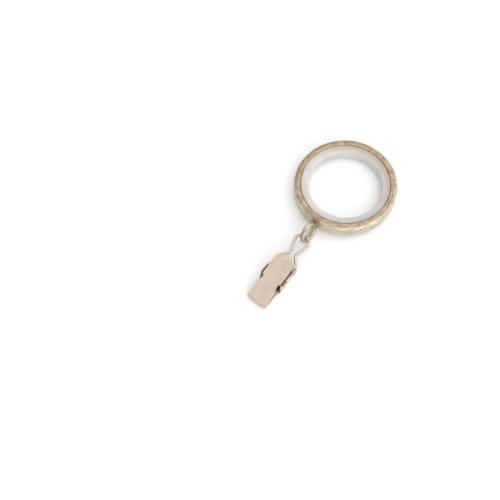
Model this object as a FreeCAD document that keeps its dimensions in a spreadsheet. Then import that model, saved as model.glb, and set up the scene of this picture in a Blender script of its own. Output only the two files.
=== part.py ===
import FreeCAD, Part
import math
import os
import re

import Sketcher

# Curtain ring with clip: a flat metal ring with a plastic liner, a welded eyelet, a wire bail and
# a stamped spring clip. The ring's axis is +Z through the origin, at mid-height of its bore.
# Eyelet, bail and clip follow each other along -Y, with the clip's front plate upwards.
doc = FreeCAD.newDocument("CurtainRingWithClip")

# Driving dimensions, in millimetres, with angles in degrees.
SIZES = {
    # ring band
    "ring_diameter": 50.8,
    "ring_height": 7.4,
    "ring_wall": 3.6,
    "ring_outer_round": 1.7,
    "ring_inner_round": 0.5,
    "snap_width": 3.2,
    "snap_depth": 0.7,
    # liner
    "liner_depth": 3.7,
    "liner_crest": 4.4,
    "liner_width": 6.4,
    "liner_round": 0.8,
    "liner_clearance": 0.05,
    # eyelet
    "eyelet_diameter": 11.2,
    "eyelet_thickness": 1.8,
    "eyelet_width": 2.3,
    "eyelet_round": 0.6,
    "eyelet_standoff": 0.2,
    "eyelet_roll": 10.0,
    "weld_base": 4.2,
    "weld_neck": 2.4,
    "weld_trim": 0.3,
    # bail
    "bail_wire": 1.4,
    "bail_slope": 12.0,
    "bail_reach": 20.2,
    "loop_clearance": 0.5,
    "loop_top_width": 8.8,
    "loop_bend": 2.6,
    "neck_width": 3.0,
    "neck_reach": 12.9,
    "neck_bend": 1.2,
    "shoulder_width": 9.2,
    "shoulder_reach": 16.5,
    "shoulder_bend": 1.2,
    "foot_bend": 1.0,
    "foot_overhang": 0.4,
    "foot_clearance": 0.1,
    # clip, both plates
    "sheet": 0.6,
    "fold_round": 0.45,
    "clip_width": 12.4,
    "pivot_height": 3.5,
    "foot_height": 2.3,
    "foot_to_pivot": 7.5,
    "jaw_length": 14.5,
    "jaw_width": 10.4,
    "jaw_round": 0.5,
    "jaw_gap": 0.3,
    "shoulder_start": 4.3,
    "shoulder_end": 6.6,
    # back plate
    "back_tab_length": 10.4,
    "back_tab_round": 1.0,
    "wall_height": 3.6,
    "wall_round": 1.2,
    "back_ear_length": 5.6,
    "back_ear_foot": 3.4,
    "back_ear_top": 2.3,
    "back_ear_round": 1.8,
    "back_lip_height": 0.8,
    # front plate
    "tab_length": 11.3,
    "tab_rise": 6.0,
    "tab_peak": 1.6,
    "tab_slope": 3.0,
    "tab_round": 1.0,
    "crease_reach": 3.1,
    "crease_rise": 3.0,
    "crease_bend": 2.5,
    "tip_drop": 0.3,
    "tip_bend": 0.8,
    "waist_width": 8.8,
    "front_ear_length": 4.4,
    "front_ear_drop": 2.0,
    "front_ear_round": 1.9,
    "ear_clearance": 0.35,
    # pivot pin
    "pin_diameter": 1.6,
    "pin_clearance": 0.05,
    "head_diameter": 2.8,
    "head_height": 0.45,
    "head_round": 0.35,
    # spring
    "spring_wire": 0.5,
    "spring_clearance": 0.15,
    "spring_pitch": 0.62,
    "spring_coils": 4,
    "spring_leg": 5.0,
    "spring_leg_slope": 14.0,
}

sizes = doc.addObject("Spreadsheet::Sheet", "Sizes")
for row, (name, number) in enumerate(SIZES.items(), start=1):
    sizes.set(f"A{row}", name)
    sizes.set(f"B{row}", str(number))
    sizes.setAlias(f"B{row}", name)
doc.recompute()


def bound(text):
    """The same expression with every size read from the sheet."""
    return re.sub(r"[a-z]\w+", lambda word: f"Sizes.{word[0]}" if word[0] in SIZES else word[0], text)


def value(text):
    return float(sizes.evalExpression(text))


# Places that several pieces share, as expressions of the sizes.
RING_RADIUS = "(ring_diameter / 2)"
SEAT_RADIUS = f"({RING_RADIUS} - ring_wall)"
EYELET_REACH = f"({RING_RADIUS} + eyelet_standoff + eyelet_diameter / 2)"
EYELET_HOLE = "(eyelet_diameter / 2 - eyelet_thickness)"
PIVOT_REACH = f"({EYELET_REACH} + bail_reach * cos(bail_slope) + foot_to_pivot)"
PIVOT_LEVEL = "(pivot_height - foot_height - bail_reach * sin(bail_slope))"
FOOT_DROP = "(pivot_height - foot_height)"
EAR_INSIDE = "(clip_width / 2 - sheet)"
FRONT_EAR_OUTSIDE = f"({EAR_INSIDE} - ear_clearance)"
JAW_SLOPE = "((crease_rise + tip_drop) / (crease_reach + jaw_length))"
LIP_TOP = "(sheet + back_lip_height - pivot_height)"
PLANES = {"XY": "XY_Plane", "XZ": "XZ_Plane", "YZ": "YZ_Plane"}


def new_body(label, reach=None, level=None):
    body = doc.addObject("PartDesign::Body", label)
    body.Label = label
    if reach:
        body.setExpression("Placement.Base.y", bound(f"-{reach}"))
    if level:
        body.setExpression("Placement.Base.z", bound(level))
    return body


def new_sketch(body, name, plane, offset=None):
    sketch = body.newObject("Sketcher::SketchObject", name)
    base = next(item for item in body.Origin.OriginFeatures if item.Role == PLANES[plane])
    sketch.AttachmentSupport = [(base, "")]
    sketch.MapMode = "FlatFace"
    if offset:
        sketch.setExpression("AttachmentOffset.Base.z", bound(offset))
    return sketch


def constrain(sketch, size, kind, *ends):
    """A dimension of the sketch, tied to the sheet by its expression."""
    index = sketch.addConstraint(Sketcher.Constraint(kind, *ends, value(size)))
    sketch.setExpression(f"Constraints[{index}]", bound(size))


def fix_point(sketch, geometry, end, across, up):
    constrain(sketch, across, "DistanceX", -1, 1, geometry, end)
    constrain(sketch, up, "DistanceY", -1, 1, geometry, end)


def add_outline(sketch, corners, closed=True):
    """Straight runs through the corners (across, up, bend radius or None), bends as tangent arcs."""
    spots = [FreeCAD.Vector(value(corner[0]), value(corner[1]), 0) for corner in corners]
    count = len(corners)
    starts, ends, arcs = list(spots), list(spots), {}
    for index, (across, up, bend) in enumerate(corners):
        if not bend:
            continue
        before, here, after = spots[index - 1], spots[index], spots[(index + 1) % count]
        to_before = (before - here).normalize()
        to_after = (after - here).normalize()
        half = to_before.getAngle(to_after) / 2
        radius = value(bend)
        ends[index] = here + to_before * (radius / math.tan(half))
        starts[index] = here + to_after * (radius / math.tan(half))
        middle = (to_before + to_after).normalize()
        centre = here + middle * (radius / math.sin(half))
        arcs[index] = Part.Arc(ends[index], centre - middle * radius, starts[index])
    runs = range(count if closed else count - 1)
    lines = []
    for index in runs:
        segment = Part.LineSegment(starts[index], ends[(index + 1) % count])
        lines.append(sketch.addGeometry(segment, False))
    for index, (across, up, bend) in enumerate(corners):
        if not closed and index == count - 1:
            fix_point(sketch, lines[-1], 2, across, up)
            continue
        if not closed and index == 0:
            fix_point(sketch, lines[0], 1, across, up)
            continue
        into, out = lines[index - 1], lines[index]
        if not bend:
            sketch.addConstraint(Sketcher.Constraint("Coincident", into, 2, out, 1))
            fix_point(sketch, out, 1, across, up)
            continue
        arc = sketch.addGeometry(arcs[index], False)
        starts_here = sketch.getPoint(arc, 1).distanceToPoint(ends[index])
        stops_here = sketch.getPoint(arc, 2).distanceToPoint(ends[index])
        first, last = (1, 2) if starts_here < stops_here else (2, 1)
        sketch.addConstraint(Sketcher.Constraint("Tangent", into, 2, arc, first))
        sketch.addConstraint(Sketcher.Constraint("Tangent", arc, last, out, 1))
        constrain(sketch, bend, "Radius", arc)
        corner = sketch.addGeometry(Part.Point(spots[index]), True)
        sketch.addConstraint(Sketcher.Constraint("PointOnObject", corner, 1, into))
        sketch.addConstraint(Sketcher.Constraint("PointOnObject", corner, 1, out))
        fix_point(sketch, corner, 1, across, up)


def add_circle(sketch, across, up, radius):
    spot = FreeCAD.Vector(value(across), value(up), 0)
    circle = sketch.addGeometry(Part.Circle(spot, FreeCAD.Vector(0, 0, 1), value(radius)), False)
    constrain(sketch, radius, "Radius", circle)
    fix_point(sketch, circle, 3, across, up)


def revolve(body, sketch, axis):
    feature = body.newObject("PartDesign::Revolution", f"{sketch.Name}_turned")
    feature.Profile = sketch
    feature.ReferenceAxis = (sketch, [axis])
    feature.Angle = 360
    return feature


def pad(body, sketch, length, both_ways=False):
    feature = body.newObject("PartDesign::Pad", f"{sketch.Name}_pad")
    feature.Profile = sketch
    feature.SideType = "Symmetric" if both_ways else "One side"
    feature.setExpression("Length", bound(length))
    return feature


def cut_through(body, sketch):
    feature = body.newObject("PartDesign::Pocket", f"{sketch.Name}_cut")
    feature.Profile = sketch
    feature.SideType = "Symmetric"
    feature.Type = "ThroughAll"
    return feature


def mirror_across(body, *features):
    """The same features on the other side of the clip's middle plane."""
    copy = body.newObject("PartDesign::Mirrored", f"{features[0].Name}_mirrored")
    copy.Originals = list(features)
    plane = next(item for item in body.Origin.OriginFeatures if item.Role == "YZ_Plane")
    copy.MirrorPlane = (plane, [""])
    body.Tip = copy
    return copy


def round_folds(body, on_fold):
    """Bend radius along the straight folds whose ends on_fold accepts."""
    doc.recompute()
    sharp = body.Tip
    edges = enumerate(sharp.Shape.Edges, start=1)
    folds = [f"Edge{number}" for number, edge in edges if all(on_fold(end.Point) for end in edge.Vertexes)]
    feature = body.newObject("PartDesign::Fillet", f"{body.Label}_folds")
    feature.Base = (sharp, folds)
    feature.setExpression("Radius", bound("fold_round"))
    return feature


def both_sides(half):
    """A closed outline from its right half, listed from top to bottom."""
    left = [(f"-{across}", up, bend) for across, up, bend in reversed(half)]
    return half + left


# Ring band: rolled flat ring with rounded rims and a shallow groove inside that holds the liner.
band = new_body("ring_band")
band_section = new_sketch(band, "band_section", "XZ")
add_outline(band_section, [
    (RING_RADIUS, "-ring_height / 2", "ring_outer_round"),
    (RING_RADIUS, "ring_height / 2", "ring_outer_round"),
    (SEAT_RADIUS, "ring_height / 2", "ring_inner_round"),
    (SEAT_RADIUS, "snap_width / 2", None),
    (f"{SEAT_RADIUS} + snap_depth", "snap_width / 2", None),
    (f"{SEAT_RADIUS} + snap_depth", "-snap_width / 2", None),
    (SEAT_RADIUS, "-snap_width / 2", None),
    (SEAT_RADIUS, "-ring_height / 2", "ring_inner_round"),
])
revolve(band, band_section, "V_Axis")

# Liner: plastic ring with a rib in the band's groove and a raised crest that runs on the rod.
LINER_SEAT = f"({SEAT_RADIUS} - liner_clearance)"
LINER_BORE = f"({SEAT_RADIUS} - liner_depth)"
RIB_RADIUS = f"({SEAT_RADIUS} + snap_depth - liner_clearance)"
RIB_HALF = "(snap_width / 2 - liner_clearance)"
liner = new_body("ring_liner")
liner_section = new_sketch(liner, "liner_section", "XZ")
add_outline(liner_section, [
    (LINER_SEAT, "liner_width / 2", None),
    (LINER_BORE, "liner_crest / 2", "liner_round"),
    (LINER_BORE, "-liner_crest / 2", "liner_round"),
    (LINER_SEAT, "-liner_width / 2", None),
    (LINER_SEAT, f"-{RIB_HALF}", None),
    (RIB_RADIUS, f"-{RIB_HALF}", None),
    (RIB_RADIUS, RIB_HALF, None),
    (LINER_SEAT, RIB_HALF, None),
])
revolve(liner, liner_section, "V_Axis")

# Eyelet: ring of flat wire on the band's outer face, its hole across the ring, welded a little askew.
eyelet_ring = new_body("eyelet_ring", EYELET_REACH)
eyelet_ring.Placement.Rotation = FreeCAD.Rotation(FreeCAD.Vector(0, -1, 0), value("eyelet_roll"))
eyelet_ring.setExpression("Placement.Rotation.Angle", bound("eyelet_roll"))
eyelet_section = new_sketch(eyelet_ring, "eyelet_section", "XY")
add_outline(eyelet_section, both_sides([
    ("eyelet_width / 2", "eyelet_diameter / 2", "eyelet_round"),
    ("eyelet_width / 2", EYELET_HOLE, "eyelet_round"),
]))
revolve(eyelet_ring, eyelet_section, "H_Axis")
weld_section = new_sketch(eyelet_ring, "weld_section", "XY")
STRAND_MIDDLE = "((eyelet_diameter - eyelet_thickness) / 2)"
WELD_END = "(eyelet_diameter / 2 + eyelet_standoff + weld_trim)"
add_outline(weld_section, [
    ("0", STRAND_MIDDLE, None),
    ("weld_neck / 2", STRAND_MIDDLE, None),
    ("weld_base / 2", WELD_END, None),
    ("0", WELD_END, None),
])
revolve(eyelet_ring, weld_section, "V_Axis")

# The weld ends on the band's outer face.
band_envelope = doc.addObject("Part::Cylinder", "band_envelope")
band_envelope.setExpression("Radius", bound(RING_RADIUS))
band_envelope.setExpression("Height", bound("ring_height"))
band_envelope.setExpression("Placement.Base.z", bound("-ring_height / 2"))
eyelet = doc.addObject("Part::Cut", "eyelet")
eyelet.Base = eyelet_ring
eyelet.Tool = band_envelope

# Bail: one wire from foot to foot, over the shoulders and the neck to the loop in the eyelet.
APEX = f"({EYELET_HOLE} - bail_wire / 2 - loop_clearance)"
FOOT_TIP = "(clip_width / 2 + foot_overhang)"
bail = new_body("bail_wire", EYELET_REACH)
bail.Placement.Rotation = FreeCAD.Rotation(FreeCAD.Vector(1, 0, 0), value("bail_slope"))
bail.setExpression("Placement.Rotation.Angle", bound("bail_slope"))
bail_path = new_sketch(bail, "bail_path", "XY")
right_half = [
    ("loop_top_width / 2", f"-{APEX}", "loop_bend"),
    ("neck_width / 2", "-neck_reach", "neck_bend"),
    ("shoulder_width / 2", "-shoulder_reach", "shoulder_bend"),
    ("shoulder_width / 2", "-bail_reach", "foot_bend"),
    (FOOT_TIP, "-bail_reach", None),
]
left_half = [(f"-{across}", up, bend) for across, up, bend in reversed(right_half)]
add_outline(bail_path, left_half + right_half, closed=False)
bail_profile = new_sketch(bail, "bail_profile", "YZ", f"-{FOOT_TIP}")
add_circle(bail_profile, "-bail_reach", "0", "bail_wire / 2")
bail_pipe = bail.newObject("PartDesign::AdditivePipe", "bail_pipe")
bail_pipe.Profile = bail_profile
bail_pipe.Spine = bail_path

# Back plate: stamped base with two folded walls, which hold the pin and the bail's feet.
back = new_body("clip_back_plate", PIVOT_REACH, PIVOT_LEVEL)
back_base = new_sketch(back, "back_base", "XY", "-pivot_height")
add_outline(back_base, both_sides([
    ("clip_width / 2", "back_tab_length", "back_tab_round"),
    ("clip_width / 2", "-back_ear_foot", None),
    ("jaw_width / 2", "-shoulder_end", None),
    ("jaw_width / 2", "-jaw_length", "jaw_round"),
]))
pad(back, back_base, "sheet")
back_wall = new_sketch(back, "back_wall", "YZ", EAR_INSIDE)
WALL_TOP = "(wall_height - pivot_height)"
add_outline(back_wall, [
    ("back_tab_length - back_tab_round", "-pivot_height", None),
    ("back_tab_length - back_tab_round", WALL_TOP, "wall_round"),
    ("back_ear_length / 2 + back_ear_top - wall_height + pivot_height", WALL_TOP, None),
    ("back_ear_length / 2", "back_ear_top", "back_ear_round"),
    ("-back_ear_length / 2", "back_ear_top", "back_ear_round"),
    ("-back_ear_foot", "-pivot_height", None),
])
back_wall_pad = pad(back, back_wall, "sheet")
mirror_across(back, back_wall_pad)
back_lip = new_sketch(back, "back_lip", "YZ")
add_outline(back_lip, [
    ("-jaw_length", "-pivot_height", None),
    ("sheet - jaw_length", "-pivot_height", None),
    ("sheet - jaw_length", LIP_TOP, None),
    ("-jaw_length", LIP_TOP, None),
])
pad(back, back_lip, "jaw_width - 2 * jaw_round", both_ways=True)
back_holes = new_sketch(back, "back_holes", "YZ")
add_circle(back_holes, "0", "0", "pin_diameter / 2 + pin_clearance")
add_circle(back_holes, "foot_to_pivot", f"-{FOOT_DROP}", "bail_wire / 2 + foot_clearance")
cut_through(back, back_holes)


def on_back_fold(spot):
    at_wall = math.isclose(abs(spot.x), value("clip_width / 2"), abs_tol=1e-6)
    at_bottom = math.isclose(spot.z, value("-pivot_height"), abs_tol=1e-6)
    return at_wall and at_bottom


round_folds(back, on_back_fold)

# Front plate: thumb tab, crease and jaw in one folded sheet, with a lip at the tip.
front = new_body("clip_front_plate", PIVOT_REACH, PIVOT_LEVEL)
front_fold = new_sketch(front, "front_fold", "YZ")
FRONT_LIP = f"({LIP_TOP} + jaw_gap)"
add_outline(front_fold, [
    ("tab_length", "tab_rise", None),
    ("crease_reach", "crease_rise", "crease_bend"),
    ("-jaw_length", "-tip_drop", "tip_bend"),
    ("-jaw_length", FRONT_LIP, None),
    ("sheet - jaw_length", FRONT_LIP, None),
    ("sheet - jaw_length", f"sheet * {JAW_SLOPE} - tip_drop - sheet", "tip_bend - sheet"),
    ("crease_reach", "crease_rise - sheet", "crease_bend + sheet"),
    ("tab_length", "tab_rise - sheet", None),
])
pad(front, front_fold, "clip_width", both_ways=True)

# Its outline from above: gabled tab, straight sides over the ears, waist and sloping shoulders.
front_trim = new_sketch(front, "front_trim", "XY")
EAR_END = "(front_ear_length / 2)"
add_outline(front_trim, both_sides([
    ("tab_peak / 2", "tab_length", "tab_round"),
    (FRONT_EAR_OUTSIDE, "tab_length - tab_slope", "tab_round"),
    (FRONT_EAR_OUTSIDE, f"-{EAR_END}", None),
    ("waist_width / 2", f"-{EAR_END}", None),
    ("waist_width / 2", "-shoulder_start", None),
    ("jaw_width / 2", "-shoulder_end", None),
    ("jaw_width / 2", "-jaw_length", "jaw_round"),
]))
add_outline(front_trim, both_sides([
    ("clip_width", "tab_length + clip_width", None),
    ("clip_width", "-jaw_length - clip_width", None),
]))
cut_through(front, front_trim)


def fold_middle(along):
    """Mid-thickness of the jaw panel at a distance along the clip."""
    return f"(crease_rise - (crease_reach - ({along})) * {JAW_SLOPE} - sheet / 2)"


front_ear = new_sketch(front, "front_ear", "YZ", f"{FRONT_EAR_OUTSIDE} - sheet")
add_outline(front_ear, [
    (EAR_END, fold_middle(EAR_END), None),
    (EAR_END, "-front_ear_drop", "front_ear_round"),
    (f"-{EAR_END}", "-front_ear_drop", "front_ear_round"),
    (f"-{EAR_END}", fold_middle(f"-{EAR_END}"), None),
])
front_ear_pad = pad(front, front_ear, "sheet")
mirror_across(front, front_ear_pad)
front_flange = new_sketch(front, "front_flange", "YZ", "jaw_width / 2 - sheet")
FLANGE_END = "(jaw_round - jaw_length)"
add_outline(front_flange, [
    ("-shoulder_end", fold_middle("-shoulder_end"), None),
    ("-shoulder_end", f"{fold_middle('-shoulder_end')} - sheet", None),
    (FLANGE_END, FRONT_LIP, None),
    (FLANGE_END, fold_middle(FLANGE_END), None),
])
front_flange_pad = pad(front, front_flange, "sheet")
mirror_across(front, front_flange_pad)
front_holes = new_sketch(front, "front_holes", "YZ")
add_circle(front_holes, "0", "0", "pin_diameter / 2 + pin_clearance")
cut_through(front, front_holes)

# Pivot pin: rivet through the four ears, with a domed head against each wall.
pin = new_body("pivot_pin", PIVOT_REACH, PIVOT_LEVEL)
pin_section = new_sketch(pin, "pin_section", "XY")
HEAD_INSIDE = "(clip_width / 2 + pin_clearance)"
HEAD_OUTSIDE = f"({HEAD_INSIDE} + head_height)"
add_outline(pin_section, [
    (HEAD_OUTSIDE, "0", None),
    (HEAD_OUTSIDE, "head_diameter / 2", "head_round"),
    (HEAD_INSIDE, "head_diameter / 2", None),
    (HEAD_INSIDE, "pin_diameter / 2", None),
    (f"-{HEAD_INSIDE}", "pin_diameter / 2", None),
    (f"-{HEAD_INSIDE}", "head_diameter / 2", None),
    (f"-{HEAD_OUTSIDE}", "head_diameter / 2", "head_round"),
    (f"-{HEAD_OUTSIDE}", "0", None),
])
revolve(pin, pin_section, "H_Axis")

# Spring: coils of wire round the pin, with one leg under the thumb tab and one on the base.
COIL_RADIUS = "(pin_diameter / 2 + spring_clearance + spring_wire / 2)"
COIL_LENGTH = "(spring_pitch * (spring_coils + 0.5 - spring_leg_slope / 180))"
coil_line = doc.addObject("Part::Helix", "coil_line")
coil_line.LocalCoord = "Left-handed"
coil_line.setExpression("Pitch", bound("spring_pitch"))
coil_line.setExpression("Height", bound(COIL_LENGTH))
coil_line.setExpression("Radius", bound(COIL_RADIUS))
coil_wire = doc.addObject("Part::Circle", "coil_wire")
coil_wire.setExpression("Radius", bound("spring_wire / 2"))
coil_wire.setExpression("Placement.Base.x", bound(COIL_RADIUS))
coil_wire.Placement.Rotation = FreeCAD.Rotation(FreeCAD.Vector(1, 0, 0), 90)
coil = doc.addObject("Part::Sweep", "coil")
coil.Sections = [coil_wire]
coil.Spine = (coil_line, ["Edge1"])
coil.Solid = True
coil.Frenet = True
AXIS = FreeCAD.Vector(0, 0, 1)
LEG_ALONG = FreeCAD.Rotation(FreeCAD.Vector(1, 0, 0), -90)
leg_slope = value("spring_leg_slope")
legs = []
for name, level, side, turn in (
    ("lower_leg", "0", 1, 0),
    ("upper_leg", COIL_LENGTH, -1, 2 * leg_slope),
):
    leg = doc.addObject("Part::Cylinder", name)
    leg.setExpression("Radius", bound("spring_wire / 2"))
    leg.setExpression("Height", bound("spring_leg"))
    leg.setExpression("Placement.Base.x", bound(f"{side} * {COIL_RADIUS} * cos({turn})"))
    leg.setExpression("Placement.Base.y", bound(f"{side} * {COIL_RADIUS} * sin({turn})"))
    leg.setExpression("Placement.Base.z", bound(level))
    leg.Placement.Rotation = FreeCAD.Rotation(AXIS, turn) * LEG_ALONG
    legs.append(leg)
spring = doc.addObject("Part::MultiFuse", "clip_spring")
spring.Shapes = [coil, *legs]
ACROSS = FreeCAD.Rotation(FreeCAD.Vector(0, 1, 0), 90)
spring.Placement.Rotation = ACROSS * FreeCAD.Rotation(AXIS, -leg_slope)
spring.setExpression("Placement.Base.x", bound(f"-{COIL_LENGTH} / 2"))
spring.setExpression("Placement.Base.y", bound(f"-{PIVOT_REACH}"))
spring.setExpression("Placement.Base.z", bound(PIVOT_LEVEL))

doc.recompute()

# Every object must be sound before any file is written.
for item in doc.Objects:
    if "Invalid" in item.State or "Error" in item.State:
        raise RuntimeError(f"{item.Label} failed: {item.State}")

PIECES = [band, liner, eyelet, bail, back, front, pin, spring]
for piece in PIECES:
    if piece.Shape.isNull() or not piece.Shape.isValid():
        raise RuntimeError(f"{piece.Label} has no valid shape")

os.makedirs("parts", exist_ok=True)
for piece in PIECES:
    solids = len(piece.Shape.Solids)
    print(f"{piece.Label}: {solids} solid, {piece.Shape.Volume:.1f} mm3")
    piece.Shape.exportStep(f"parts/{piece.Label}.step")
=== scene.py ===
import bpy
from mathutils import Matrix, Vector


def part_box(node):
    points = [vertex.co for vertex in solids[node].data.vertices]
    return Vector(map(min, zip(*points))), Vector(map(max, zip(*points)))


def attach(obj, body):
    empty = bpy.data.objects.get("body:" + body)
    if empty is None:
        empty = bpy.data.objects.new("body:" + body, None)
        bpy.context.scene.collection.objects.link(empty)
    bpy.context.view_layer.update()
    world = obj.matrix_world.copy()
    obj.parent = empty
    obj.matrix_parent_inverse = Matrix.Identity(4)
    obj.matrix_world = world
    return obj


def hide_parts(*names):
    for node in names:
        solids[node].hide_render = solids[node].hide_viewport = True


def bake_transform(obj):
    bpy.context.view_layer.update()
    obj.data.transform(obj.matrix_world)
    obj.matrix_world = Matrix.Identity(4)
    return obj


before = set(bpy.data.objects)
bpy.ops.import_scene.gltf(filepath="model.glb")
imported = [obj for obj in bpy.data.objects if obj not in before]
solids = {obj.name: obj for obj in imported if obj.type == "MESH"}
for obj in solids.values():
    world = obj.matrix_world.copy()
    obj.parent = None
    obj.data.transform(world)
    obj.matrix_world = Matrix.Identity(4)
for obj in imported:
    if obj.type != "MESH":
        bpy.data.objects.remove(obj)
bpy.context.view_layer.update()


# Ring band: a flat metal strip rolled into a ring and closed, with rounded rims.
# It is brushed across the strip and stained, so that brown stays in the scratches, in streaks along
# the strip and beside the rims, under a thin satin lacquer. The dark line at each rim's inner edge is
# partly stain and partly painted shade, darkest on the near side.
def new_finish(name, roughness, metallic):
    """A material with its shader, ready for the nodes of one finish."""
    material = bpy.data.materials.new(name)
    material.use_nodes = True
    tree = material.node_tree
    shader = tree.nodes["Principled BSDF"]
    shader.inputs["Roughness"].default_value = roughness
    shader.inputs["Metallic"].default_value = metallic
    return material, tree, shader


def join(tree, source, socket):
    """Sets a socket to a number or colour, or links another node's output to it."""
    if isinstance(source, bpy.types.NodeSocket):
        tree.links.new(source, socket)
    else:
        socket.default_value = source


def calc(tree, operation, first, second=0.0):
    """One step of arithmetic on numbers or on other nodes' outputs."""
    node = tree.nodes.new("ShaderNodeMath")
    node.operation = operation
    join(tree, first, node.inputs[0])
    join(tree, second, node.inputs[1])
    return node.outputs[0]


def times(tree, first, second):
    """Two masks or measures multiplied."""
    return calc(tree, "MULTIPLY", first, second)


def distance(tree, first, second):
    """The distance from an axis, from two offsets at right angles."""
    squares = calc(tree, "ADD", times(tree, first, first), times(tree, second, second))
    return calc(tree, "SQRT", squares)


def directions(tree, output):
    """x, y and z of the spot on the piece in metres ("Object") or of the way it faces ("Normal")."""
    spot = tree.nodes.new("ShaderNodeTexCoord")
    parts = tree.nodes.new("ShaderNodeSeparateXYZ")
    tree.links.new(spot.outputs[output], parts.inputs[0])
    return tuple(parts.outputs)


def mottle(tree, spot, counts, detail, rough=0.55):
    """Uneven grey between 0 and 1, with a count of patches per metre in each direction."""
    vector = tree.nodes.new("ShaderNodeCombineXYZ")
    for direction, count, socket in zip(spot, counts, vector.inputs):
        tree.links.new(times(tree, direction, count), socket)
    node = tree.nodes.new("ShaderNodeTexNoise")
    node.inputs["Scale"].default_value = 1.0
    node.inputs["Detail"].default_value = detail
    node.inputs["Roughness"].default_value = rough
    tree.links.new(vector.outputs[0], node.inputs["Vector"])
    return node.outputs[0]


def fade(tree, grey, start, end, first=0.0, last=1.0):
    """first up to the start, last past the end, smooth between; the start may be the larger."""
    node = tree.nodes.new("ShaderNodeMapRange")
    node.interpolation_type = "SMOOTHSTEP"
    tree.links.new(grey, node.inputs["Value"])
    node.inputs["From Min"].default_value = start
    node.inputs["From Max"].default_value = end
    node.inputs["To Min"].default_value = first
    node.inputs["To Max"].default_value = last
    return node.outputs[0]


def tint(tree, share, under, over):
    """One colour over another, by a share between 0 and 1."""
    node = tree.nodes.new("ShaderNodeMix")
    node.data_type = "RGBA"
    join(tree, share, node.inputs["Factor"])
    join(tree, under, node.inputs["A"])
    join(tree, over, node.inputs["B"])
    return node.outputs["Result"]


def relief(tree, shader, height, depth):
    """Marks in the surface, depth in metres."""
    node = tree.nodes.new("ShaderNodeBump")
    node.inputs["Distance"].default_value = depth
    tree.links.new(height, node.inputs["Height"])
    tree.links.new(node.outputs["Normal"], shader.inputs["Normal"])


def wear(tree, shader, grey, smooth, dull):
    """Roughness between two values."""
    node = tree.nodes.new("ShaderNodeMapRange")
    tree.links.new(grey, node.inputs["Value"])
    node.inputs["To Min"].default_value = smooth
    node.inputs["To Max"].default_value = dull
    tree.links.new(node.outputs[0], shader.inputs["Roughness"])


def dress(name, material):
    """Gives a solid of the model its finish."""
    solid = solids[name]
    solid.data.materials.clear()
    solid.data.materials.append(material)
    return solid


rim_brown = (0.326, 0.236, 0.152, 1.0)
rim_tan = (0.508, 0.408, 0.302, 1.0)
face_gold = (0.565, 0.478, 0.345, 1.0)
face_pale = (0.775, 0.712, 0.582, 1.0)
band_streak = (0.250, 0.170, 0.100, 1.0)
band_stain_and_shade = (0.130, 0.075, 0.040, 1.0)
band_scorch = (0.260, 0.150, 0.075, 1.0)
band_outside = 0.0254
rim_to_face = (0.0241, 0.0252)
outer_line_start = (0.0228, 0.0233)
outer_line_stop = (0.0242, 0.0236)
inner_shade_stop = (0.0227, 0.0221)
near_side_shade = (0.004, -0.012)
round_weld = (0.0036, 0.0014)
band_finish, tree, shader = new_finish("brushed_antique_gold", roughness=0.40, metallic=0.45)
across, along, up = directions(tree, "Object")
reach = distance(tree, across, along)
turn = times(tree, calc(tree, "ARCTAN2", across, along), band_outside)
ring_spot = (turn, reach, up)
brush = mottle(tree, ring_spot, (3400.0, 420.0, 420.0), detail=5.0, rough=0.65)
patches = mottle(tree, ring_spot, (210.0, 520.0, 520.0), detail=6.0, rough=0.6)
smears = mottle(tree, ring_spot, (300.0, 1900.0, 1900.0), detail=6.0, rough=0.6)
speckle = mottle(tree, ring_spot, (1900.0, 1900.0, 1900.0), detail=3.0, rough=0.6)
rim_colour = tint(tree, fade(tree, patches, 0.38, 0.64), rim_brown, rim_tan)
face_colour = tint(tree, fade(tree, patches, 0.38, 0.64), face_gold, face_pale)
colour = tint(tree, fade(tree, reach, *rim_to_face), rim_colour, face_colour)
most_on_rim = fade(tree, reach, *rim_to_face, first=0.45, last=0.20)
colour = tint(tree, times(tree, fade(tree, smears, 0.50, 0.66), most_on_rim), colour, band_streak)
colour = tint(tree, fade(tree, brush, 0.42, 0.74, last=0.30), colour, band_stain_and_shade)
colour = tint(tree, times(tree, fade(tree, speckle, 0.54, 0.66), most_on_rim), colour, band_stain_and_shade)
outer_line = times(tree, fade(tree, reach, *outer_line_start), fade(tree, reach, *outer_line_stop))
outer_line = times(tree, outer_line, fade(tree, smears, 0.46, 0.62))
# Painted shade, partly stain: a dark line at the rim's inner edge beside the liner, strongest on the near
# side.
inner_shade_and_stain = fade(tree, reach, *inner_shade_stop)
inner_shade_and_stain = times(tree, inner_shade_and_stain, fade(tree, along, *near_side_shade, first=0.20, last=0.90))
lines = calc(tree, "MAXIMUM", outer_line, inner_shade_and_stain)
stained_and_shaded = times(tree, lines, fade(tree, smears, 0.28, 0.50, last=0.80))
colour = tint(tree, stained_and_shaded, colour, band_stain_and_shade)
from_weld = distance(tree, across, calc(tree, "ADD", along, band_outside))
colour = tint(tree, fade(tree, from_weld, *round_weld, last=0.60), colour, band_scorch)
tree.links.new(colour, shader.inputs["Base Color"])
wear(tree, shader, patches, smooth=0.32, dull=0.52)
relief(tree, shader, brush, depth=0.000015)
dress("ring_band", band_finish)

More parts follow.
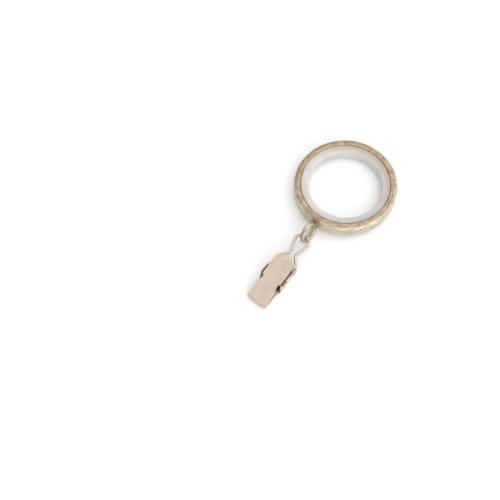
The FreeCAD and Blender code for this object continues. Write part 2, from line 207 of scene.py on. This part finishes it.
# Liner: a ring of white polypropylene, moulded in one piece and snapped into the band's groove.
# Its raised crest slides on the rod, which has polished it a little, while its sides stay satin.
# A painted reflection of the band tints it a warm tone near the band, most on the far side.
liner_white = (0.745, 0.732, 0.700, 1.0)
liner_milky = (0.645, 0.628, 0.593, 1.0)
liner_band_reflection = (0.590, 0.472, 0.365, 1.0)
reflection_near_band = (0.0178, 0.0210)
far_side_reflection = (-0.004, 0.016)
light_travels = (0.003, 0.003, 0.0026)
liner_finish, tree, shader = new_finish("moulded_white_liner", roughness=0.38, metallic=0.0)
across, along, up = spot = directions(tree, "Object")
reach = distance(tree, across, along)
flow = mottle(tree, spot, (90.0, 90.0, 300.0), detail=2.0)
grain = mottle(tree, spot, (4200.0, 4200.0, 4200.0), detail=2.0)
rubbed = mottle(tree, spot, (160.0, 160.0, 2600.0), detail=4.0)
colour = tint(tree, fade(tree, flow, 0.30, 0.75), liner_white, liner_milky)
# Painted reflection: the band's warm tone on the liner near the band, strongest on the far side.
painted_reflection = fade(tree, along, *far_side_reflection, first=0.20, last=0.85)
painted_reflection = times(tree, fade(tree, reach, *reflection_near_band), painted_reflection)
tree.links.new(tint(tree, painted_reflection, colour, liner_band_reflection), shader.inputs["Base Color"])
wear(tree, shader, rubbed, smooth=0.28, dull=0.52)
relief(tree, shader, grain, depth=0.000006)
shader.inputs["Subsurface Weight"].default_value = 0.45
shader.inputs["Subsurface Radius"].default_value = light_travels
shader.inputs["Subsurface Scale"].default_value = 1.0
dress("ring_liner", liner_finish)

# Eyelet: a short piece of flat wire, rolled into a small ring and welded to the band's outer face.
# It has the band's gold, brushed along the wire, and the weld's heat has left it brown at the foot.
eyelet_gold = (0.437, 0.358, 0.241, 1.0)
eyelet_bright = (0.638, 0.551, 0.409, 1.0)
weld_brown = (0.235, 0.135, 0.070, 1.0)
eyelet_middle = 0.0312
eyelet_foot = (-0.0281, -0.0262)
eyelet_finish, tree, shader = new_finish("brushed_light_gold", roughness=0.38, metallic=0.45)
across, along, up = spot = directions(tree, "Object")
reach = distance(tree, calc(tree, "ADD", along, eyelet_middle), up)
streaks = mottle(tree, (across, reach, up), (2600.0, 2600.0, 260.0), detail=4.0)
patches = mottle(tree, spot, (320.0, 320.0, 320.0), detail=4.0)
colour = tint(tree, fade(tree, patches, 0.36, 0.66), eyelet_gold, eyelet_bright)
colour = tint(tree, fade(tree, streaks, 0.50, 0.74, last=0.35), colour, weld_brown)
scorched = times(tree, fade(tree, along, *eyelet_foot, last=0.8), fade(tree, patches, 0.20, 0.50))
colour = tint(tree, scorched, colour, weld_brown)
tree.links.new(colour, shader.inputs["Base Color"])
wear(tree, shader, streaks, smooth=0.28, dull=0.48)
relief(tree, shader, streaks, depth=0.00003)
dress("eyelet", eyelet_finish)

# Bail: one length of drawn wire, bent cold into a loop, a neck, two shoulders and two feet.
# It is plated and lacquered in a pale beige, with fine draw lines, and its sides are darkened grey as
# painted shade.
wire_beige = (0.490, 0.441, 0.402, 1.0)
wire_pale = (0.627, 0.573, 0.532, 1.0)
wire_marks_and_shade = (0.190, 0.168, 0.150, 1.0)
wire_finish, tree, shader = new_finish("lacquered_wire", roughness=0.30, metallic=0.45)
spot = directions(tree, "Object")
_, _, upwards = directions(tree, "Normal")
cloud = mottle(tree, spot, (260.0, 260.0, 260.0), detail=4.0)
draw_lines = mottle(tree, spot, (2600.0, 500.0, 2600.0), detail=3.0)
colour = tint(tree, fade(tree, cloud, 0.35, 0.65), wire_beige, wire_pale)
colour = tint(tree, fade(tree, draw_lines, 0.58, 0.78, last=0.5), colour, wire_marks_and_shade)
# Painted shade: the wire is darker where its faces turn away from straight up.
colour = tint(tree, fade(tree, upwards, 0.80, 0.40, last=0.8), colour, wire_marks_and_shade)
tree.links.new(colour, shader.inputs["Base Color"])
wear(tree, shader, draw_lines, smooth=0.22, dull=0.42)
relief(tree, shader, draw_lines, depth=0.00002)
dress("bail_wire", wire_finish)

# Clip plates: two stampings of thin steel sheet, the back one folded into a trough with two ears.
# Both are sprayed beige after folding; the paint has a fine orange peel and is thin along the edges.
# The faces inside the trough between the walls are darkened as painted shade, less so towards its open
# end.
clip_beige = (0.608, 0.497, 0.388, 1.0)
clip_light = (0.664, 0.554, 0.444, 1.0)
clip_thin_and_highlight = (0.850, 0.755, 0.635, 1.0)
painted_trough_shade = (0.035, 0.026, 0.020, 1.0)
side_edge = (0.0049, 0.0052)
shade_deepens = (-0.0510, -0.0575)
trough_ends = (-0.0637, -0.0617)
pivot_along = -0.058459
pivot_up = -0.003
round_head = (0.0018, 0.0016)
fold_along = -0.0554
fold_half = 0.0006
peak_slope = 0.674
rib_left = -0.0024
rib_soft = 0.0004
rib_middles = (-0.0478, -0.0487, -0.0495)
rib_highlight_half = 0.00036
edge_round = 0.00015


def sprayed_beige(name, marks):
    """The clip's paint; marks gives where one plate has painted highlights and where painted shade darkens
    it.
    """
    material, tree, shader = new_finish(name, roughness=0.42, metallic=0.0)
    across, along, up = spot = directions(tree, "Object")
    cloud = mottle(tree, spot, (150.0, 110.0, 150.0), detail=4.0)
    peel = mottle(tree, spot, (2300.0, 2300.0, 2300.0), detail=2.0)
    rub = mottle(tree, spot, (700.0, 700.0, 700.0), detail=5.0)
    colour = tint(tree, fade(tree, cloud, 0.32, 0.68), clip_beige, clip_light)
    edge = fade(tree, calc(tree, "ABSOLUTE", across), *side_edge, last=0.55)
    colour = tint(tree, times(tree, edge, fade(tree, rub, 0.42, 0.62)), colour, clip_thin_and_highlight)
    painted_highlight, painted_shade = marks(tree, across, along, up)
    colour = tint(tree, painted_highlight, colour, clip_thin_and_highlight)
    # Painted shade: faces inside the trough are darkened near-black, less towards its open end.
    shade_depth = fade(tree, along, *shade_deepens, first=0.20, last=0.92)
    colour = tint(tree, times(tree, painted_shade, shade_depth), colour, painted_trough_shade)
    tree.links.new(colour, shader.inputs["Base Color"])
    wear(tree, shader, rub, smooth=0.36, dull=0.54)
    relief(tree, shader, peel, depth=0.000014)
    return material


def crest(tree, measure, middle, half_width, full=1.0):
    """full where a measure has its middle value, falling to 0 at half a line's width."""
    aside = calc(tree, "ABSOLUTE", calc(tree, "SUBTRACT", measure, middle))
    return fade(tree, aside, half_width, 0.0, last=full)


def from_pivot(tree, along, up):
    """The distance from the pin's axis."""
    return distance(tree, calc(tree, "SUBTRACT", along, pivot_along), calc(tree, "SUBTRACT", up, pivot_up))


def in_trough(tree, across, along, level):
    """1 on the faces inside the trough: its sides, and its floor (level 1) or its roof (level -1)."""
    sideways, _, upwards = directions(tree, "Normal")
    inwards = times(tree, times(tree, sideways, calc(tree, "SIGN", across)), -1.0)
    inside = fade(tree, calc(tree, "MAXIMUM", inwards, times(tree, upwards, level)), 0.6, 0.9)
    return times(tree, inside, fade(tree, along, *trough_ends))


def back_marks(tree, across, along, up):
    """Painted shade darkens the trough between the walls and a thin ring round each rivet head."""
    dark_ring = fade(tree, from_pivot(tree, along, up), *round_head)
    return 0.0, calc(tree, "MAXIMUM", in_trough(tree, across, along, 1.0), dark_ring)


def front_marks(tree, across, along, up):
    """Painted highlights pale the fold and the ribs of the thumb tab, and painted shade darkens the roof
    of the trough.
    """
    # Painted highlight: a pale line across the fold and along each rib.
    fold = crest(tree, along, fold_along, fold_half, full=0.4)
    slanted = calc(tree, "SUBTRACT", along, times(tree, across, peak_slope))
    rubbed = 0.0
    for middle in rib_middles:
        rubbed = calc(tree, "ADD", rubbed, crest(tree, slanted, middle, rib_highlight_half))
    rubbed = times(tree, rubbed, fade(tree, across, rib_left - rib_soft, rib_left + rib_soft))
    return calc(tree, "MAXIMUM", fold, rubbed), in_trough(tree, across, along, -1.0)


def soften_edges(solid):
    """Rounds the stamped edges a little, as the paint does."""
    weld = solid.modifiers.new("closed_surface", "WELD")
    weld.merge_threshold = 0.000002
    bevel = solid.modifiers.new("painted_edge", "BEVEL")
    bevel.width = edge_round
    bevel.segments = 2
    bevel.limit_method = "ANGLE"
    bevel.angle_limit = 0.6
    bevel.harden_normals = True


front_paint = sprayed_beige("sprayed_beige_front", front_marks)
soften_edges(dress("clip_back_plate", sprayed_beige("sprayed_beige_back", back_marks)))
soften_edges(dress("clip_front_plate", front_paint))

# Grip ribs: three low ribs struck into the thumb tab from below, along one slope of its peak.
# They are the front plate's own steel and paint, with a painted highlight along them, and run out at both
# ends.
tab_fold = Vector((0.0, -0.055359, 0.0))
tab_end = Vector((0.0, -0.047159, 0.003))
tab_rise = (tab_end.z - tab_fold.z) / (tab_end.y - tab_fold.y)
tab_out = Vector((0.0, -tab_rise, 1.0)).normalized()
rib_rights = (0.0005, 0.0011, 0.0017)
rib_half = 0.0002
rib_height = 0.0001
rib_root = 0.00006
rib_section = ((-1.0, 0.0), (-0.7, 0.75), (0.0, 1.0), (0.7, 0.75), (1.0, 0.0))
rib_run = ((0.0, 0.2), (0.15, 1.0), (0.85, 1.0), (1.0, 0.2))


def on_tab(x, middle):
    """A spot of a rib's middle line on the tab's upper face."""
    y = middle + peak_slope * x
    return Vector((x, y, tab_fold.z + tab_rise * (y - tab_fold.y)))


def add_object(name, data):
    """A new object of the scene."""
    thing = bpy.data.objects.new(name, data)
    bpy.context.scene.collection.objects.link(thing)
    return thing


around = len(rib_section)
corners = []
faces = []
for middle, right in zip(rib_middles, rib_rights):
    start = on_tab(rib_left, middle)
    end = on_tab(right, middle)
    beside = tab_out.cross(end - start).normalized()
    first = len(corners)
    for share, swell in rib_run:
        for aside, rise in rib_section:
            height = (rib_height + rib_root) * rise * swell - rib_root
            corners.append(start.lerp(end, share) + beside * aside * rib_half + tab_out * height)
    last = len(corners) - around
    for here in range(first, last, around):
        for side in range(around):
            after = (side + 1) % around
            faces.append((here + side, here + around + side, here + around + after, here + after))
    faces.append(tuple(range(first, first + around)))
    faces.append(tuple(reversed(range(last, last + around))))
rib_mesh = bpy.data.meshes.new("grip_ribs")
rib_mesh.from_pydata(corners, [], faces)
rib_mesh.shade_smooth()
rib_mesh.materials.append(front_paint)
ribs = add_object("grip_ribs", rib_mesh)
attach(ribs, "jaw")

# Pivot pin: a steel rivet through the four ears, with its ends hammered into two round heads.
# It goes through the same spray as the plates, and its heads are rubbed bright in the middle, with painted
# shade darkening each head's rim.
head_paint = (0.750, 0.635, 0.510, 1.0)
head_rubbed = (0.880, 0.815, 0.730, 1.0)
head_rim_shade = (0.120, 0.090, 0.070, 1.0)
head_rim = (0.00115, 0.00135)
pin_finish, tree, shader = new_finish("painted_rivet", roughness=0.36, metallic=0.2)
across, along, up = spot = directions(tree, "Object")
dents = mottle(tree, spot, (1500.0, 1500.0, 1500.0), detail=3.0)
rub = mottle(tree, spot, (500.0, 500.0, 500.0), detail=4.0)
colour = tint(tree, fade(tree, rub, 0.40, 0.64), head_paint, head_rubbed)
# Painted shade: a dark rim round each head.
colour = tint(tree, fade(tree, from_pivot(tree, along, up), *head_rim, last=0.75), colour, head_rim_shade)
tree.links.new(colour, shader.inputs["Base Color"])
wear(tree, shader, dents, smooth=0.28, dull=0.50)
relief(tree, shader, dents, depth=0.00003)
dress("pivot_pin", pin_finish)

# Spring: hard-drawn steel wire wound round the pin, with a leg against each plate.
# It is bare and oiled, so it is grey with fine draw lines and a few darker spots.
spring_grey = (0.420, 0.420, 0.430, 1.0)
spring_dark = (0.180, 0.170, 0.165, 1.0)
spring_finish, tree, shader = new_finish("oiled_spring_wire", roughness=0.30, metallic=1.0)
spot = directions(tree, "Object")
spots = mottle(tree, spot, (900.0, 900.0, 900.0), detail=4.0)
draw_lines = mottle(tree, spot, (6000.0, 1200.0, 1200.0), detail=2.0)
colour = tint(tree, fade(tree, spots, 0.50, 0.75), spring_grey, spring_dark)
tree.links.new(colour, shader.inputs["Base Color"])
wear(tree, shader, spots, smooth=0.24, dull=0.42)
relief(tree, shader, draw_lines, depth=0.00001)
spring = add_object("torsion_spring", dress("clip_spring", spring_finish).data.copy())
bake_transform(spring)
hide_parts("clip_spring")

# Floor: a plain white table top, on which the ring lies on its far rim and on the clip's back plate.
# The clip is deeper than the ring, so the table leans by two degrees against the ring.
floor_white = (0.97, 0.97, 0.97, 1.0)
floor_glow = 0.12
floor_half = 6.0
band_round = 0.0017
plate_round = 0.00045
band_low, band_high = (Vector(corner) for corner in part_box("ring_band"))
plate_low, plate_high = (Vector(corner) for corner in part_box("clip_back_plate"))
rim_rest = band_high.y - band_round
clip_rest = plate_high.y - plate_round
floor_lean = (band_low.z - plate_low.z) / (rim_rest - clip_rest)
corners = [(x, y, band_low.z + floor_lean * (y - rim_rest))
           for x, y in ((-floor_half, -floor_half), (floor_half, -floor_half),
                        (floor_half, floor_half), (-floor_half, floor_half))]
floor_mesh = bpy.data.meshes.new("table_top")
floor_mesh.from_pydata(corners, [], [(0, 1, 2, 3)])
floor_finish, tree, shader = new_finish("white_table", roughness=0.9, metallic=0.0)
shader.inputs["Base Color"].default_value = floor_white
shader.inputs["Specular IOR Level"].default_value = 0.0
shader.inputs["Emission Color"].default_value = (1.0, 1.0, 1.0, 1.0)
rays = tree.nodes.new("ShaderNodeLightPath")
seen = calc(tree, "MAXIMUM", rays.outputs["Is Camera Ray"], rays.outputs["Is Glossy Ray"])
seen = calc(tree, "MAXIMUM", seen, rays.outputs["Is Transmission Ray"])
tree.links.new(times(tree, seen, floor_glow), shader.inputs["Emission Strength"])
floor_mesh.materials.append(floor_finish)
floor = add_object("table_top", floor_mesh)

# Light: a large soft lamp above the far side, a weaker one low at the right,
# and a white room that is darker on the left where metal reflects it.
room_light = 0.51
mirror_dark = 0.40
mirror_bright = 1.35
window = Vector((0.80, 0.10, 0.59))
room = bpy.data.worlds.new("white_room")
room.use_nodes = True
bpy.context.scene.world = room
tree = room.node_tree
sky = tree.nodes["Background"]
rays = tree.nodes.new("ShaderNodeLightPath")
towards = tree.nodes.new("ShaderNodeVectorMath")
towards.operation = "DOT_PRODUCT"
towards.inputs[1].default_value = window
tree.links.new(tree.nodes.new("ShaderNodeTexCoord").outputs["Generated"], towards.inputs[0])
mirrored = fade(tree, towards.outputs["Value"], -0.8, 0.6, first=mirror_dark, last=mirror_bright)
reflected = calc(tree, "SUBTRACT", mirrored, room_light)
strength = times(tree, rays.outputs["Is Glossy Ray"], reflected)
plain = calc(tree, "MAXIMUM", rays.outputs["Is Camera Ray"], rays.outputs["Is Transmission Ray"])
strength = calc(tree, "ADD", strength, times(tree, plain, 1.0 - room_light))
sky.inputs["Color"].default_value = (1.0, 1.0, 1.0, 1.0)
tree.links.new(calc(tree, "ADD", strength, room_light), sky.inputs["Strength"])


def hang_lamp(name, source, energy, angle):
    """A wide, far lamp that shines from a direction."""
    lamp = bpy.data.lights.new(name, "SUN")
    lamp.energy = energy
    lamp.angle = angle
    add_object(name, lamp).rotation_euler = Vector(source).to_track_quat("Z", "Y").to_euler()


hang_lamp("soft_lamp", source=(0.25, 0.60, 1.6), energy=1.2, angle=1.3)
hang_lamp("fill_lamp", source=(0.90, -0.60, 0.50), energy=1.05, angle=1.0)

# Camera: looks down on the ring from the front right, at about 60 degrees,
# and is tilted as the picture is.
view_from = Vector((0.071337, -0.140928, 0.278487))
view_to = Vector((-0.016993, -0.055128, 0.0))
view_up = Vector((-0.54301, 0.73847, 0.39975))
lens = bpy.data.cameras.new("camera")
lens.lens = 45.72
lens.sensor_width = 36.0
lens.clip_start = 0.01
back = (view_from - view_to).normalized()
right = view_up.cross(back).normalized()
pose = Matrix((right, back.cross(right), back)).transposed().to_4x4()
pose.translation = view_from
camera = add_object("camera", lens)
camera.matrix_world = pose
bpy.context.scene.camera = camera
bpy.context.scene.view_settings.view_transform = "Standard"
